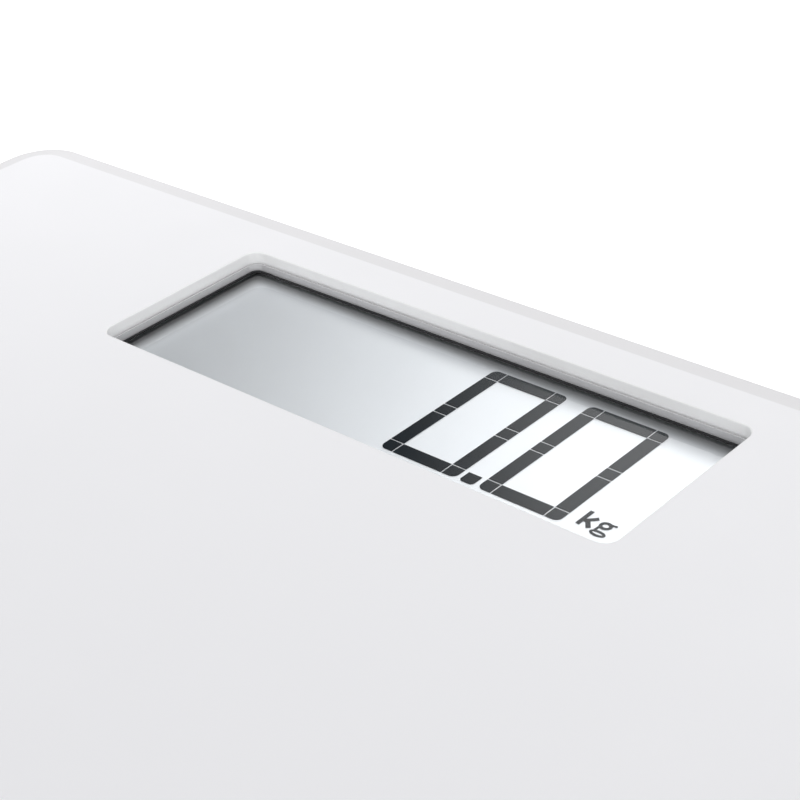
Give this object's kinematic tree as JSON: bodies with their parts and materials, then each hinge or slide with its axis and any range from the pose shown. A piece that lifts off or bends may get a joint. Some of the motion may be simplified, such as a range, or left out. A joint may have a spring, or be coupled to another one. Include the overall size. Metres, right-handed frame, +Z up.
{
  "type": "digital bathroom scale",
  "caption": "Slim square bathroom scale: white glass platform on a moulded base with four sensing feet and a recessed digit display at the rear.",
  "frame": {"origin": "on the floor under the middle of the platform", "axes": "+Z up, +Y towards the display side, +X to the right of a person standing on it and facing the display"},
  "size_m": [0.31, 0.31, 0.023],
  "materials": {
    "base_plastic": "fine moulded texture",
    "button_plastic": "satin grey",
    "cell_steel": "stainless can",
    "chip_resin": "moulded resin",
    "circuit_board": "green solder mask",
    "contact_rubber": "soft layered rubber",
    "contact_steel": "nickel-plated spring steel",
    "cover_plastic": "matt white",
    "foot_plastic": "fine moulded texture",
    "foot_rubber": "fine moulded texture",
    "gasket_foam": "matt black closed-cell foam",
    "holder_plastic": "matt black",
    "lcd_glass": "polished",
    "lead_black": "soft sleeve",
    "lead_grey": "soft sleeve",
    "lead_red": "soft sleeve",
    "load_cell_steel": "stamped and plated",
    "platform_glass": "clear toughened glass over a smooth white coating, polished bevel",
    "reflector_film": "silvery satin film",
    "screw_steel": "zinc plated",
    "silicone": "cured silicone bead",
    "trim_plastic": "satin white"
  },
  "bodies": {
    "base": {"base_housing": "base_plastic", "battery_contact_negative": "contact_steel", "battery_contact_positive": "contact_steel", "battery_lead_negative": "lead_black", "battery_lead_positive": "lead_red", "coin_cell": "cell_steel", "controller_chip": "chip_resin", "cover_screw_front_left_left": "screw_steel", "cover_screw_front_left_right": "screw_steel", "cover_screw_front_right_left": "screw_steel", "cover_screw_front_right_right": "screw_steel", "cover_screw_rear_left_left": "screw_steel", "cover_screw_rear_left_right": "screw_steel", "cover_screw_rear_right_left": "screw_steel", "cover_screw_rear_right_right": "screw_steel", "display_gasket": "gasket_foam", "display_holder": "holder_plastic", "display_trim": "trim_plastic", "glass_bond_seal": "silicone", "glass_platform": "platform_glass", "holder_screw_front_left": "screw_steel", "holder_screw_front_right": "screw_steel", "holder_screw_rear_left": "screw_steel", "holder_screw_rear_right": "screw_steel", "lcd_cell": "lcd_glass", "lcd_reflector": "reflector_film", "load_cell_cover_front_left": "cover_plastic", "load_cell_cover_front_right": "cover_plastic", "load_cell_cover_rear_left": "cover_plastic", "load_cell_cover_rear_right": "cover_plastic", "load_cell_front_left": "load_cell_steel", "load_cell_front_right": "load_cell_steel", "load_cell_lead_front_left": "lead_grey", "load_cell_lead_front_right": "lead_grey", "load_cell_lead_rear_left": "lead_grey", "load_cell_lead_rear_right": "lead_grey", "load_cell_rear_left": "load_cell_steel", "load_cell_rear_right": "load_cell_steel", "main_pcb": "circuit_board", "pcb_screw_left": "screw_steel", "pcb_screw_right": "screw_steel", "unit_switch": "chip_resin", "zebra_strip": "contact_rubber"},
    "foot_front_left": {"foot_front_left": "foot_plastic", "foot_pad_front_left": "foot_rubber"},
    "foot_front_right": {"foot_front_right": "foot_plastic", "foot_pad_front_right": "foot_rubber"},
    "foot_rear_left": {"foot_rear_left": "foot_plastic", "foot_pad_rear_left": "foot_rubber"},
    "foot_rear_right": {"foot_rear_right": "foot_plastic", "foot_pad_rear_right": "foot_rubber"},
    "battery_door": {"battery_door": "base_plastic"},
    "unit_button": {"unit_button": "button_plastic"}
  },
  "joints": [
    {"name": "foot_front_left_travel", "type": "slide", "parent": "base", "child": "foot_front_left", "axis": [0, 0, 1], "range_m": [0, 0.0005], "stiffness_N_per_m": 1000, "springref_m": -0.005},
    {"name": "foot_front_right_travel", "type": "slide", "parent": "base", "child": "foot_front_right", "axis": [0, 0, 1], "range_m": [0, 0.0005], "stiffness_N_per_m": 1000, "springref_m": -0.005},
    {"name": "foot_rear_left_travel", "type": "slide", "parent": "base", "child": "foot_rear_left", "axis": [0, 0, 1], "range_m": [0, 0.0005], "stiffness_N_per_m": 1000, "springref_m": -0.005},
    {"name": "foot_rear_right_travel", "type": "slide", "parent": "base", "child": "foot_rear_right", "axis": [0, 0, 1], "range_m": [0, 0.0005], "stiffness_N_per_m": 1000, "springref_m": -0.005},
    {"name": "battery_door_hinge", "type": "hinge", "parent": "base", "child": "battery_door", "pos_m": [0, 0.04735, 0.005], "axis": [-1, 0, 0], "range_deg": [0, 60]},
    {"name": "unit_button_travel", "type": "slide", "parent": "base", "child": "unit_button", "axis": [0, 0, 1], "range_m": [0, 0.0008], "stiffness_N_per_m": 300}
  ]
}
